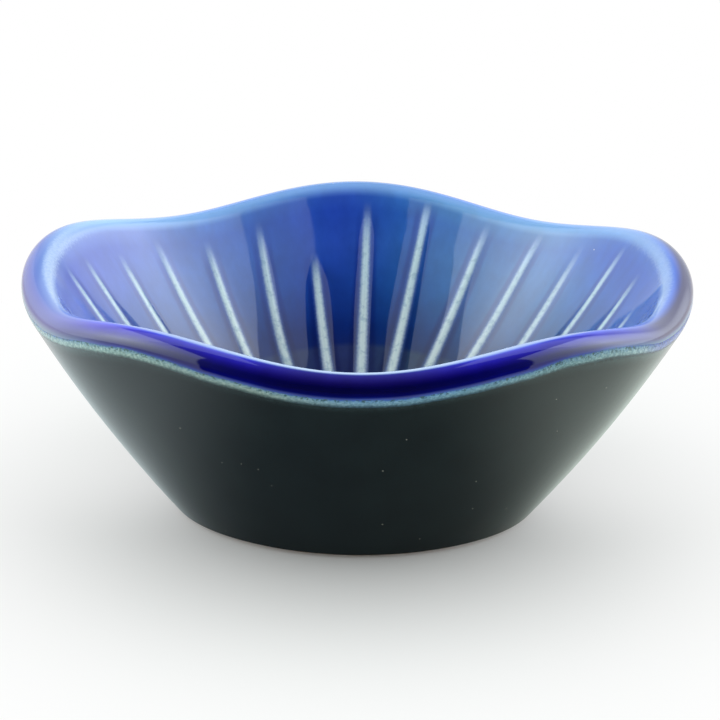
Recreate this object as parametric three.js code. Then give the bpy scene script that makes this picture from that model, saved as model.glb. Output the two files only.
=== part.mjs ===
// A small five-lobed stoneware side-dish bowl, about 110 mm across and 41 mm high. It is cobalt blue inside,
// with raised pale lines, and near-black outside, and the two glazes meet in a pale band under the lip.
// Units are millimetres and +Z is up. The origin is the centre of the foot, on the surface that it stands on.
// One section is drawn through the glazed skin: from the foot's edge up the outside, over the lip and down to
// the middle of the floor. Each piece is a layer at some depth under that skin. It is turned round the axis
// and then drawn out to the five lobes.
import * as THREE from "three";

// The section, in the mean plane between a corner and a side
const LIP_RADIUS = 52; // from the axis to the middle of the rounded lip
const LIP_HEIGHT = 36.3; // from the table to the middle of the lip
const LIP_THICKNESS = 5.6;
const FOOT_RADIUS = 29.6; // where the outer wall's line meets the table
const WALL_BOW = 0.85; // how far the outer wall swells out from a straight line
const WALL_TAPER = THREE.MathUtils.degToRad(2); // how much less steep the wall is inside than outside, at the lip
const FLOOR_HEIGHT = 7.5; // from the table to the glazed floor
const FLOOR_INSET = 15.6; // from the foot's edge in to the edge of the flat floor
const WALL_EASE = 18; // how far down from the lip the inner wall keeps its slope
const FLOOR_EASE = 14; // how far the floor's level runs out into the wall

// The five lobes, which fade to nothing at the foot and on the flat floor
const LOBES = 5;
const FIRST_CORNER = Math.PI / 2; // a corner lies straight back, at +Y
const CORNER_REACH = 0.68; // how far the lip swings out and in
const CORNER_FLATTENING = 0.15; // takes the point off the corners and fills the sides
const CORNER_RISE = 1.78; // how far the lip swings up and down

// The foot, which is hidden in use and is the plain ring that such bowls have
const FOOT_RING_WIDTH = 4.2;
const FOOT_CHAMFER = 0.55;
const RECESS_DEPTH = 2.4;
const RECESS_DRAFT = 0.8; // how much narrower the recess is at its ceiling

// The glaze coats and the band where they meet
const GLAZE = 0.6; // thickness of every coat
const CLEARANCE = 0.3; // between one layer or piece and the next
const GLAZE_LINE = 1; // the outer coat stops this far up the wall
const SEAM_BELOW_LIP = 0.45; // the pale band starts this far below the middle of the lip
const SEAM_WIDTH = 1.7;

// The raised slip lines on the inner wall, laid by hand
const RIB_SPACING = THREE.MathUtils.degToRad(12);
const FIRST_RIB = THREE.MathUtils.degToRad(4.5);
const RIB_RISE = 0.55; // above the glaze round it
const RIB_WIDTH_TOP = 1.3;
const RIB_WIDTH_FOOT = 2;
const RIB_END = 3; // length over which an end fades out
const RIB_END_WIDTH = 0.4; // share of the width that is left at an end
const RIB_FOOT_GAPS = [4, 8]; // how far the lines stop short of the flat floor, by turns

const RIB_START = 4; // how far below the lip a usual line starts

// One hand's run of lines, from the right round the back to the left: how far below the lip each line starts,
// as a share of the usual start, and how far its top and its foot drift from their even places, in degrees.
// The run is laid twice, once for the back half and once for the front half.
const RIB_RUN = [
  { start: 2, top: 0.5, foot: -2.5 },
  { start: 1.15, top: -3.5, foot: -5.0 },
  { start: 0.425, top: -4.3, foot: -0.3 },
  { start: 0.6, top: -3.0, foot: 1.4 },
  { start: 0.25, top: -3.2, foot: 5.1 },
  { start: 0.325, top: -2.4, foot: 3.9 },
  { start: 0.25, top: -0.7, foot: 2.4 },
  { start: 0.675, top: -0.3, foot: 0.0 },
  { start: 2.875, top: -0.2, foot: -0.9 },
  { start: 0.8, top: -1.0, foot: 1.3 },
  { start: 1.075, top: -0.2, foot: 0.7 },
  { start: 0.8, top: 0.4, foot: -1.2 },
  { start: 1.425, top: 0.7, foot: 0.1 },
  { start: 1.225, top: 1.7, foot: 1.6 },
  { start: 0.75, top: -1.0, foot: 0.5 },
];
const RIB_RUNS = 2;

// Steps round the axis, and along the outer wall, the lip, the inner wall and the flat floor
const ROUND_STEPS = 60;
const SECTION_STEPS = [3, 7, 11, 1];
const LEAST_STEP = 0.6;
const RIB_STEPS = 6; // along a slip line, between its two faded ends
const RIB_CROWN_STEPS = 3;
const CELLS_BETWEEN_RIBS = 2;

// The skin's section, as one path of four pieces
const lipRadius = LIP_THICKNESS / 2;
const footEdge = new THREE.Vector2(FOOT_RADIUS, 0);
const lipMiddle = new THREE.Vector2(LIP_RADIUS, LIP_HEIGHT);
const wallRun = footEdge.distanceTo(lipMiddle);
const straightSlope = lipMiddle.clone().sub(footEdge).angle() - Math.asin(lipRadius / wallRun);
const outerSlope = straightSlope + Math.atan((4 * WALL_BOW) / wallRun);
const innerSlope = outerSlope - WALL_TAPER;
const outerAngle = outerSlope - Math.PI / 2; // where the outer wall runs into the lip's round
const innerAngle = innerSlope + Math.PI / 2; // where the round runs out into the inner wall

function heading(angle, length) {
  return new THREE.Vector2(Math.cos(angle), Math.sin(angle)).multiplyScalar(length);
}

const lipOutside = lipMiddle.clone().add(heading(outerAngle, lipRadius));
const lipInside = lipMiddle.clone().add(heading(innerAngle, lipRadius));
const wallBend = lipOutside.clone().sub(heading(outerSlope, wallRun / 2));
const innerBend = lipInside.clone().sub(heading(innerSlope, WALL_EASE));
const floorEdge = new THREE.Vector2(FOOT_RADIUS - FLOOR_INSET, FLOOR_HEIGHT);
const floorBend = new THREE.Vector2(floorEdge.x + FLOOR_EASE, FLOOR_HEIGHT);

const section = new THREE.Path();
section.moveTo(footEdge.x, footEdge.y);
section.quadraticCurveTo(wallBend.x, wallBend.y, lipOutside.x, lipOutside.y);
section.curves.push(
  new THREE.EllipseCurve(LIP_RADIUS, LIP_HEIGHT, lipRadius, lipRadius, outerAngle, innerAngle, false),
  new THREE.CubicBezierCurve(lipInside, innerBend, floorBend, floorEdge),
  new THREE.LineCurve(floorEdge, new THREE.Vector2(0, FLOOR_HEIGHT)),
);
const sectionLength = section.getLength();
const [wallLength, lipLength, innerLength] = section.curves.map((curve) => curve.getLength());
const innerStart = wallLength + lipLength;
const floorStart = innerStart + innerLength;

// Distances along the section from the foot's edge
const seamTop = wallLength + (-Math.asin(SEAM_BELOW_LIP / lipRadius) - outerAngle) * lipRadius;
const seamFoot = seamTop - SEAM_WIDTH;

const marks = [];
let walked = 0;
section.curves.forEach((curve, piece) => {
  for (let step = 0; step < SECTION_STEPS[piece]; step++) {
    marks.push(walked + (curve.getLength() * step) / SECTION_STEPS[piece]);
  }
  walked += curve.getLength();
});

// The distances at which a piece between two places on the section has its rings
function stations(from, to) {
  const between = marks.filter((mark) => mark > from + LEAST_STEP && mark < to - LEAST_STEP);
  return [from, ...between, to];
}

// A point of the section, at a distance along the skin and a depth below it
function underSkin(distance, depth) {
  const at = section.getPoint(distance / sectionLength);
  const along = section.getTangent(distance / sectionLength);
  return new THREE.Vector2(at.x - depth * along.y, at.y + depth * along.x);
}

// The clay lies under the coats all over, and the foot ring is cut from it
const clayDepth = GLAZE + CLEARANCE;
const ringOutside = underSkin(0, clayDepth).x - FOOT_CHAMFER;
const ringInside = ringOutside - FOOT_RING_WIDTH;

// Draws a point of the plain turned form out to the lobes
function lobed(radius, height, angle) {
  const fade = THREE.MathUtils.smoothstep(radius, floorEdge.x, FOOT_RADIUS);
  const share = Math.min(height / LIP_HEIGHT, 1) * fade;
  const wave = Math.cos(LOBES * (angle - FIRST_CORNER));
  const ripple = Math.cos(2 * LOBES * (angle - FIRST_CORNER));
  const reach = CORNER_REACH * wave - CORNER_FLATTENING * ripple;
  const out = radius * (1 + (share * reach) / LIP_RADIUS);
  return [out * Math.cos(angle), out * Math.sin(angle), height + share * CORNER_RISE * wave];
}

// A profile turned round the axis and drawn out to the lobes. The profile runs with the material on its left.
function turned(profile) {
  const geometry = new THREE.LatheGeometry(profile, ROUND_STEPS);
  geometry.rotateX(Math.PI / 2);
  const position = geometry.getAttribute("position");
  for (let i = 0; i < position.count; i++) {
    const radius = Math.hypot(position.getX(i), position.getY(i));
    const angle = Math.atan2(position.getY(i), position.getX(i));
    position.setXYZ(i, ...lobed(radius, position.getZ(i), angle));
  }
  return geometry;
}

// The skin from one place on the section to another, at one depth
function skinLine(from, to, depth) {
  return stations(from, to).map((distance) => underSkin(distance, depth));
}

// A coat that closes on itself as a ring
function coatRing(from, to) {
  const profile = [...skinLine(from, to, 0), ...skinLine(from, to, GLAZE).reverse()];
  return turned([...profile, profile[0]]);
}

// The stoneware body: the recess under the foot, the ring that it stands on, and the skin under the coats
function clayBody() {
  return turned([
    new THREE.Vector2(0, RECESS_DEPTH),
    new THREE.Vector2(ringInside - RECESS_DRAFT, RECESS_DEPTH),
    new THREE.Vector2(ringInside, 0),
    new THREE.Vector2(ringOutside, 0),
    ...skinLine(0, sectionLength, clayDepth),
  ]);
}

// The disc of glaze on the recess's ceiling
function footGlaze() {
  const top = RECESS_DEPTH - CLEARANCE;
  const bottom = top - GLAZE;
  const edgeAt = (height) => ringInside - (RECESS_DRAFT * height) / RECESS_DEPTH - CLEARANCE;
  return turned([
    new THREE.Vector2(0, bottom),
    new THREE.Vector2(edgeAt(bottom), bottom),
    new THREE.Vector2(edgeAt(top), top),
    new THREE.Vector2(0, top),
  ]);
}

// One slip line's course: its rings along the section, its angle, and its width and height, which fade at the
// ends. Its slot in the coat is longer by a clearance at each end.
function ribCourse(number) {
  const hand = RIB_RUN[number % RIB_RUN.length];
  const even = FIRST_RIB + number * RIB_SPACING;
  const from = innerStart + hand.start * RIB_START;
  const to = floorStart - RIB_FOOT_GAPS[number % RIB_FOOT_GAPS.length];
  const fade = (distance) =>
    THREE.MathUtils.smoothstep(Math.min(distance - from, to - distance), 0, RIB_END);
  const run = (distance) => THREE.MathUtils.clamp((distance - innerStart) / innerLength, 0, 1);
  const middle = Array.from({ length: RIB_STEPS + 1 }, (_, step) =>
    THREE.MathUtils.lerp(from + RIB_END, to - RIB_END, step / RIB_STEPS),
  );
  return {
    rings: [from, ...middle, to],
    slotRings: [from - CLEARANCE, ...middle, to + CLEARANCE],
    angleAt: (distance) =>
      even + THREE.MathUtils.degToRad(THREE.MathUtils.lerp(hand.top, hand.foot, run(distance))),
    halfWidthAt: (distance) =>
      (THREE.MathUtils.lerp(RIB_WIDTH_TOP, RIB_WIDTH_FOOT, run(distance)) / 2) *
      THREE.MathUtils.lerp(RIB_END_WIDTH, 1, fade(distance)),
    riseAt: (distance) => RIB_RISE * fade(distance),
  };
}

// A slip line, as rings along its course. It sits just off the clay, fills its slot in the coat and crowns
// above it. Each ring has two corners at the seat, and the rest of its points go over the crown.
function slipLine({ rings, angleAt, halfWidthAt, riseAt }) {
  const positions = [];
  const index = [];
  const sides = RIB_CROWN_STEPS + 3;
  for (const distance of rings) {
    const half = halfWidthAt(distance);
    const outline = [{ across: half, depth: GLAZE }];
    for (let step = 0; step <= RIB_CROWN_STEPS; step++) {
      const turn = (step * Math.PI) / RIB_CROWN_STEPS;
      outline.push({ across: half * Math.cos(turn), depth: -riseAt(distance) * Math.sin(turn) });
    }
    outline.push({ across: -half, depth: GLAZE });
    for (const { across, depth } of outline) {
      const at = underSkin(distance, depth);
      positions.push(...lobed(at.x, at.y, angleAt(distance) + across / at.x));
    }
  }
  const last = (rings.length - 1) * sides;
  for (let ring = 0; ring < last; ring += sides) {
    for (let side = 0; side < sides; side++) {
      const next = (side + 1) % sides;
      index.push(ring + side, ring + sides + side, ring + next);
      index.push(ring + next, ring + sides + side, ring + sides + next);
    }
  }
  for (let side = 1; side < sides - 1; side++) {
    index.push(0, side, side + 1);
    index.push(last, last + side + 1, last + side);
  }
  return meshed(positions, index);
}

function meshed(positions, index) {
  const geometry = new THREE.BufferGeometry();
  geometry.setAttribute("position", new THREE.Float32BufferAttribute(positions, 3));
  geometry.setIndex(index);
  geometry.computeVertexNormals();
  return geometry;
}

// A curved slab round the axis, as a grid of cells. pointAt gives the corner at a column and a row on the upper
// face or the lower one, and filled says which cells hold material. Each open edge gets a wall. The last row of
// corners lies on the axis, so it needs none.
function slab(columns, rows, pointAt, filled) {
  const positions = [];
  const index = [];
  for (const upper of [true, false]) {
    for (let row = 0; row <= rows; row++) {
      for (let column = 0; column < columns; column++) {
        positions.push(...pointAt(column, row, upper));
      }
    }
  }
  const lower = (rows + 1) * columns;
  const corner = (column, row) => row * columns + ((column + columns) % columns);
  const isFilled = (column, row) => row >= rows || (row >= 0 && filled((column + columns) % columns, row));
  for (let row = 0; row < rows; row++) {
    for (let column = 0; column < columns; column++) {
      if (!isFilled(column, row)) continue;
      const a = corner(column, row);
      const b = corner(column + 1, row);
      const c = corner(column + 1, row + 1);
      const d = corner(column, row + 1);
      index.push(a, b, d, b, c, d);
      index.push(lower + a, lower + d, lower + b, lower + b, lower + d, lower + c);
      const edges = [
        { from: a, to: b, open: !isFilled(column, row - 1) },
        { from: b, to: c, open: !isFilled(column + 1, row) },
        { from: c, to: d, open: !isFilled(column, row + 1) },
        { from: d, to: a, open: !isFilled(column - 1, row) },
      ];
      for (const { from, to, open } of edges) {
        if (open) index.push(to, from, lower + from, to, lower + from, lower + to);
      }
    }
  }
  return meshed(positions, index);
}

// The blue coat: floor, inner wall and lip, down to the pale band. Its grid is laid along the slip lines. Each
// line has a column of cells of its own, open where its slot is, and the glaze between two lines has the rest.
function innerGlaze(courses) {
  const overLip = stations(seamTop + CLEARANCE, innerStart);
  const rowsOf = (course) => [...overLip, ...course.slotRings, floorStart, sectionLength];
  const firstSlotRow = overLip.length;
  const lastSlotRow = firstSlotRow + RIB_STEPS + 1;
  const cellsPerRib = 1 + CELLS_BETWEEN_RIBS;

  // A slot's edge at one row: side is -1 for its right edge and 1 for its left one
  const edgeAt = (number, row, side) => {
    const course = courses[number % courses.length];
    const distance = rowsOf(course)[row];
    const radius = Math.max(underSkin(distance, 0).x, floorEdge.x);
    const turn = (side * (course.halfWidthAt(distance) + CLEARANCE)) / radius;
    const laps = Math.floor(number / courses.length) * 2 * Math.PI;
    return { distance, angle: course.angleAt(distance) + turn + laps };
  };
  const pointAt = (column, row, upper) => {
    const number = Math.floor(column / cellsPerRib);
    const cell = column % cellsPerRib;
    const share = Math.max(cell - 1, 0) / CELLS_BETWEEN_RIBS;
    const near = edgeAt(number, row, cell === 0 ? -1 : 1);
    const far = edgeAt(number + 1, row, -1);
    const at = underSkin(THREE.MathUtils.lerp(near.distance, far.distance, share), upper ? 0 : GLAZE);
    return lobed(at.x, at.y, THREE.MathUtils.lerp(near.angle, far.angle, share));
  };
  const filled = (column, row) =>
    column % cellsPerRib !== 0 || row < firstSlotRow || row > lastSlotRow;
  return slab(courses.length * cellsPerRib, lastSlotRow + 3, pointAt, filled);
}

const clay = new THREE.MeshStandardMaterial({ color: 0x8c6b4c, roughness: 0.85, metalness: 0 });
const cobalt = new THREE.MeshStandardMaterial({ color: 0x16329c, roughness: 0.1, metalness: 0 });
const seamGlaze = new THREE.MeshStandardMaterial({ color: 0xb4c4b4, roughness: 0.3, metalness: 0 });
const darkGlaze = new THREE.MeshStandardMaterial({ color: 0x1a1e1d, roughness: 0.35, metalness: 0 });
const slip = new THREE.MeshStandardMaterial({ color: 0xc3d2cc, roughness: 0.3, metalness: 0 });

const bowl = new THREE.Group();

function add(name, geometry, material) {
  const mesh = new THREE.Mesh(geometry, material);
  mesh.name = name;
  bowl.add(mesh);
}

const courses = Array.from({ length: RIB_RUN.length * RIB_RUNS }, (_, number) => ribCourse(number));
add("clay_body", clayBody(), clay);
add("inner_glaze", innerGlaze(courses), cobalt);
add("glaze_seam", coatRing(seamFoot, seamTop), seamGlaze);
add("outer_glaze", coatRing(GLAZE_LINE, seamFoot - CLEARANCE), darkGlaze);
add("foot_glaze", footGlaze(), darkGlaze);
courses.forEach((course, number) => {
  add("rib_" + String(number + 1).padStart(2, "0"), slipLine(course), slip);
});

export default bowl;
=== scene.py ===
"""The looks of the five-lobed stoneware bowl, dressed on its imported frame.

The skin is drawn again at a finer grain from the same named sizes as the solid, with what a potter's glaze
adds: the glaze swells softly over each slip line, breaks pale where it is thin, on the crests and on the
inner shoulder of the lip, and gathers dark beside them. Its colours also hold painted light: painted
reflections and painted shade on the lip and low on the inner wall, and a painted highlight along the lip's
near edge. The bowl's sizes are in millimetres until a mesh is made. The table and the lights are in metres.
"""

import math

import bpy
import numpy as np
from mathutils import Matrix


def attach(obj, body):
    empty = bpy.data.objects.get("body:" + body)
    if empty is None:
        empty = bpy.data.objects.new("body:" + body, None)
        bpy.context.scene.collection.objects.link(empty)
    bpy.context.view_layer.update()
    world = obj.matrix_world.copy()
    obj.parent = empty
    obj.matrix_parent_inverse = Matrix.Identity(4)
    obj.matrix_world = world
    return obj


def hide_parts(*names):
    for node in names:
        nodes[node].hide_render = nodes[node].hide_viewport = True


MM = 0.001

# The section through the skin
LIP_RADIUS = 52.0
LIP_HEIGHT = 36.3
LIP_THICKNESS = 5.6
FOOT_RADIUS = 29.6
WALL_BOW = 0.85
WALL_TAPER = math.radians(2)
FLOOR_HEIGHT = 7.5
FLOOR_INSET = 15.6
WALL_EASE = 18.0
FLOOR_EASE = 14.0

# The five lobes
LOBES = 5
FIRST_CORNER = math.pi / 2
CORNER_REACH = 0.68
CORNER_FLATTENING = 0.15
CORNER_RISE = 1.78

# The coats, and the band where they meet
GLAZE = 0.6
GLAZE_LINE = 1.0
SEAM_BELOW_LIP = 0.45
SEAM_WIDTH = 1.7
SEAM_WANDER = 0.2  # how far the band's borders stray up and down
SEAM_FOLLOWED = 2.5  # how far from its borders the rows of the coats still follow them
# And how much higher it runs, by degrees round the bowl
SEAM_LIFT = [
    (0, 0.45), (90, 0.1), (180, 0.3), (215, 0.35), (230, 0.55), (250, 0.1), (262, -0.3),
    (290, -0.38), (299, -0.1), (306, 0.6), (315, 1.0), (330, 0.95), (345, 0.6), (360, 0.45),
]

# The slip lines: share of the usual start below the lip, drift of the top and of the foot in degrees
RIB_START = 4.0
RIB_RUN = [
    (2, 0.5, -2.5),
    (1.15, -3.5, -5.0),
    (0.425, -4.3, -0.3),
    (0.6, -3.0, 1.4),
    (0.25, -3.2, 5.1),
    (0.325, -2.4, 3.9),
    (0.25, -0.7, 2.4),
    (0.675, -0.3, 0.0),
    (2.875, -0.2, -0.9),
    (0.8, -1.0, 1.3),
    (1.075, -0.2, 0.7),
    (0.8, 0.4, -1.2),
    (1.425, 0.7, 0.1),
    (1.225, 1.7, 1.6),
    (0.75, -1.0, 0.5),
] * 2
RIBS = len(RIB_RUN)
FIRST_RIB = 4.5
RIB_SPACING = 360 / RIBS
RIB_WIDTHS = (1.25, 1.85)  # of the pale crest, at a line's top and at its foot
RIB_FOOT_GAPS = (4.0, 8.0)
SWELL_REACH = 3.3  # from the line's middle to where the glaze's broad rise over it ends
SWELL_LEAST = 0.3  # the same at the line's top
SWELL_GROWS = 3.5  # along the line, from its top
SWELL_SHARE = 0.47  # most of the way to the next line that it may take
SWELL_SLOPE = 0.041
SWELL_POWER = 2.0
CREST_RISE = 0.045
FADE_ABOVE = 1.0  # how far above its top a line begins to rise
FADE_TOP = 5.0
FADE_FOOT = 6.0
PALE_AHEAD = 1.5  # how far the pale crest runs on above a line, as a faint thread
PALE_BREADTHS = (1.28, 1.08)  # how much broader than the crest the pale part is, at its tip and further down
PALE_TIP = 8.0
PALE_SPREAD = 3  # half widths of the pale part over which the nearness of a line fades away
# How strongly each line shows, and over what length from its top this grows
RIB_PALE = [
    (1.0, 4.5),
    (1.0, 4.9),
    (1.0, 5.0),
    (1.0, 7.2),
    (1.06, 3.9),
    (1.11, 5.1),
    (1.11, 2.8),
    (1.03, 5.8),
    (1.0, 4.2),
    (0.97, 6.0),
    (1.11, 5.4),
    (1.11, 5.6),
    (1.08, 4.6),
    (1.0, 3.7),
    (1.0, 4.5),
] * 2

WOBBLE = 0.045  # unevenness of the glazed skin
WOBBLE_FADES = (8, 12)  # length over which it fades at the foot's edge and at the middle of the floor
WAVES_DRAWN = 9
WAVE_ROUND = (2, 9)  # how often one of its waves goes round the bowl
WAVE_ALONG = (0.08, 0.24)  # how fast it runs along the section
WAVE_WEIGHTS = (0.5, 1)
WANDER_ROUND = (3, 5, 8, 13, 21, 34)  # how often the pale band's strays go round it
PHASES = (0, 6.28)

NEAR_AXIS = 1.0  # no turn round the axis is measured on a smaller radius
CURVE_POINTS = 600


def heading(angle, length):
    return np.array([math.cos(angle), math.sin(angle)]) * length


def smoothstep(value, low, high):
    share = np.clip((value - low) / (high - low), 0, 1)
    return share * share * (3 - 2 * share)


def bezier(*points):
    t = np.linspace(0, 1, CURVE_POINTS)[:, None]
    degree = len(points) - 1
    return sum(math.comb(degree, i) * (1 - t) ** (degree - i) * t**i * p for i, p in enumerate(points))


foot_edge = np.array([FOOT_RADIUS, 0.0])
lip_middle = np.array([LIP_RADIUS, LIP_HEIGHT])
lip_radius = LIP_THICKNESS / 2
wall_run = np.linalg.norm(lip_middle - foot_edge)
straight_slope = math.atan2(*(lip_middle - foot_edge)[::-1]) - math.asin(lip_radius / wall_run)
outer_slope = straight_slope + math.atan(4 * WALL_BOW / wall_run)
inner_slope = outer_slope - WALL_TAPER
outer_angle = outer_slope - math.pi / 2
inner_angle = inner_slope + math.pi / 2
lip_outside = lip_middle + heading(outer_angle, lip_radius)
lip_inside = lip_middle + heading(inner_angle, lip_radius)
wall_bend = lip_outside - heading(outer_slope, wall_run / 2)
inner_bend = lip_inside - heading(inner_slope, WALL_EASE)
floor_edge = np.array([FOOT_RADIUS - FLOOR_INSET, FLOOR_HEIGHT])
floor_bend = floor_edge + [FLOOR_EASE, 0]
lip_turn = np.linspace(outer_angle, inner_angle, CURVE_POINTS)

parts = [
    bezier(foot_edge, wall_bend, lip_outside),
    lip_middle + lip_radius * np.stack([np.cos(lip_turn), np.sin(lip_turn)], 1),
    bezier(lip_inside, inner_bend, floor_bend, floor_edge),
    bezier(floor_edge, np.array([0.0, FLOOR_HEIGHT])),
]
wall_length, lip_length, inner_length, _ = (
    np.linalg.norm(np.diff(part, axis=0), axis=1).sum() for part in parts
)
path = np.concatenate([parts[0]] + [part[1:] for part in parts[1:]])
path_at = np.concatenate([[0], np.cumsum(np.linalg.norm(np.diff(path, axis=0), axis=1))])
path_turn = np.arctan2(np.gradient(path[:, 1], path_at), np.gradient(path[:, 0], path_at))
path_turn = np.unwrap(path_turn)

# Distances along the section, from the foot's edge
inner_start = wall_length + lip_length
floor_start = inner_start + inner_length
path_end = path_at[-1]
crest = wall_length + (math.pi / 2 - outer_angle) * lip_radius
seam_top = wall_length + (-math.asin(SEAM_BELOW_LIP / lip_radius) - outer_angle) * lip_radius
seam_foot = seam_top - SEAM_WIDTH


def under_skin(distance, depth):
    """Radius and height of a point at a distance along the section and a depth below the skin."""
    radius, height, turn = (np.interp(distance, path_at, v) for v in (*path.T, path_turn))
    return radius - depth * np.sin(turn), height + depth * np.cos(turn)


def lobed(radius, height, angle):
    """The point in space, with the five lobes in its reach and height."""
    share = np.minimum(height / LIP_HEIGHT, 1) * smoothstep(radius, floor_edge[0], FOOT_RADIUS)
    wave = np.cos(LOBES * (angle - FIRST_CORNER))
    ripple = np.cos(2 * LOBES * (angle - FIRST_CORNER))
    reach = CORNER_REACH * wave - CORNER_FLATTENING * ripple
    out = radius * (1 + share * reach / LIP_RADIUS)
    return np.stack([out * np.cos(angle), out * np.sin(angle), height + share * CORNER_RISE * wave], -1)


def rib_angle(number, distance):
    """Angle of a line's middle, in radians. number may run past the last line, once more round."""
    _, top, foot = RIB_RUN[number % RIBS]
    run = np.clip((distance - inner_start) / inner_length, 0, 1)
    return np.radians(FIRST_RIB + number * RIB_SPACING + top + (foot - top) * run)


def rib_ends(number):
    return inner_start + RIB_RUN[number % RIBS][0] * RIB_START, floor_start - RIB_FOOT_GAPS[number % 2]


def rib_half_width(number, distance):
    top, foot = rib_ends(number)
    run = np.clip((distance - top) / (foot - top), 0, 1)
    return (RIB_WIDTHS[0] + (RIB_WIDTHS[1] - RIB_WIDTHS[0]) * run) / 2


def foot_fade(number, distance):
    foot = rib_ends(number)[1]
    return 1 - smoothstep(distance, foot - FADE_FOOT, foot)


def rib_fade(number, distance):
    top = rib_ends(number)[0]
    return smoothstep(distance, top - FADE_ABOVE, top + FADE_TOP) * foot_fade(number, distance)


def relief(distance, angle):
    """How far the glaze stands above the plain skin, how near a line's middle a point is, from 0 to 1, and
    how pale that line is there."""
    radius = np.maximum(under_skin(distance, 0)[0], NEAR_AXIS)
    spacing = radius * math.radians(RIB_SPACING)
    rise = np.zeros(np.broadcast(distance, angle).shape)
    near = np.zeros_like(rise)
    pale = np.zeros_like(rise)
    for number in range(RIBS):
        turn = (angle - rib_angle(number, distance) + math.pi) % (2 * math.pi) - math.pi
        across = np.abs(turn) * radius
        top = rib_ends(number)[0]
        along = np.maximum(distance - top, 0)
        half = rib_half_width(number, distance)
        reach = SWELL_REACH * (1 - np.exp(-along / SWELL_GROWS)) + SWELL_LEAST
        reach = np.minimum(reach, SWELL_SHARE * spacing)
        swell = SWELL_SLOPE * reach * (1 - np.minimum(across / reach, 1)) ** SWELL_POWER
        rise += rib_fade(number, distance) * (swell + CREST_RISE * np.exp(-((across / half) ** 2)))
        since = np.maximum(distance - top + PALE_AHEAD, 0)
        breadth = np.interp(since, (0, PALE_TIP), PALE_BREADTHS)
        strength, growth = RIB_PALE[number]
        worth = strength * (1 - np.exp(-((since / growth) ** 2))) * foot_fade(number, distance)
        close = np.clip(1 - across / (PALE_SPREAD * half * breadth), 0, 1)
        pale = np.where(close > near, worth, pale)
        near = np.maximum(near, close)
    return rise, near, pale


rng = np.random.default_rng(5)


def random_wave():
    """A wave's count and phase round the bowl, its pace and phase along the section, and its weight."""
    around = rng.integers(*WAVE_ROUND), rng.uniform(*PHASES)
    along = rng.uniform(*WAVE_ALONG), rng.uniform(*PHASES)
    return *around, *along, rng.uniform(*WAVE_WEIGHTS)


WAVES = [random_wave() for _ in range(WAVES_DRAWN)]
WANDERS = [(k, rng.uniform(*PHASES), 1 / k**0.5) for k in WANDER_ROUND]


def wobble(distance, angle):
    """How far the glazed skin stands above an even one."""
    waves = sum(w * np.sin(k * angle + p) * np.sin(q * distance + r) for k, p, q, r, w in WAVES)
    at_foot, at_axis = WOBBLE_FADES
    return WOBBLE * waves / 2 * smoothstep(distance, 0, at_foot) * smoothstep(path_end - distance, 0, at_axis)


def wander(angle):
    """How far the pale band strays at an angle."""
    lift = np.interp(np.degrees(angle) % 360, *zip(*SEAM_LIFT))
    return lift + SEAM_WANDER * sum(w * np.sin(k * angle + p) for k, p, w in WANDERS)


def skin(distance, angle, depth=0.0):
    """A point of the glazed skin, or at a depth below it."""
    on_clay = smoothstep(depth, 0, GLAZE) if depth > 0 else 0
    rise = (relief(distance, angle)[0] + wobble(distance, angle)) * (1 - on_clay)
    return lobed(*under_skin(distance, depth - rise), angle)


def skin_normal(distance, angle):
    step = 0.05
    turn = step / np.maximum(under_skin(distance, 0)[0], 2 * NEAR_AXIS)
    along = skin(distance + step, angle) - skin(distance - step, angle)
    around = skin(distance, angle + turn) - skin(distance, angle - turn)
    normal = np.cross(around, along)
    return normal / np.maximum(np.linalg.norm(normal, axis=-1, keepdims=True), 1e-12)


def mesh_object(name, points, quads, triangles, normals, attributes, material):
    """A smooth mesh with given normals at its points. attributes have a number or a vector for each point."""
    sizes = np.concatenate([np.full(len(quads), 4), np.full(len(triangles), 3)]).astype(np.int32)
    corners = np.concatenate([np.ravel(quads), np.ravel(triangles)]).astype(np.int32)
    mesh = bpy.data.meshes.new(name)
    mesh.vertices.add(len(points))
    mesh.vertices.foreach_set("co", (points * MM).astype(np.float32).ravel())
    mesh.loops.add(len(corners))
    mesh.loops.foreach_set("vertex_index", corners)
    mesh.polygons.add(len(sizes))
    mesh.polygons.foreach_set("loop_start", np.concatenate([[0], np.cumsum(sizes)[:-1]]).astype(np.int32))
    mesh.update(calc_edges=True)
    mesh.validate()
    mesh.shade_smooth()
    mesh.normals_split_custom_set_from_vertices(normals.astype(np.float32))
    for key, values in attributes.items():
        is_vector = values.ndim == 2
        layer = mesh.attributes.new(key, "FLOAT_VECTOR" if is_vector else "FLOAT", "POINT")
        layer.data.foreach_set("vector" if is_vector else "value", values.astype(np.float32).ravel())
    mesh.materials.append(material)
    made = bpy.data.objects.new(name, mesh)
    bpy.context.scene.collection.objects.link(made)
    return made


FLOW_PACE = 0.12  # how slowly the glaze's streaks change down the wall, against round it


def places(distance, angle, nominal):
    """What the materials read at each point. nominal is the distance before the pale band strays."""
    radius = under_skin(distance, 0)[0]
    _, near, pale = relief(distance, angle)
    return {
        "near_line": near,
        "line_pale": pale,
        "past_crest": nominal - crest,
        "flow": np.stack([radius * np.cos(angle), radius * np.sin(angle), distance * FLOW_PACE], -1),
        "aside": np.cos(2 * angle),
        "rear": np.sin(angle),
    }


UNDERSIDE_EVERY = 8  # rows of the skin for each row of a coat's underside


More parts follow.
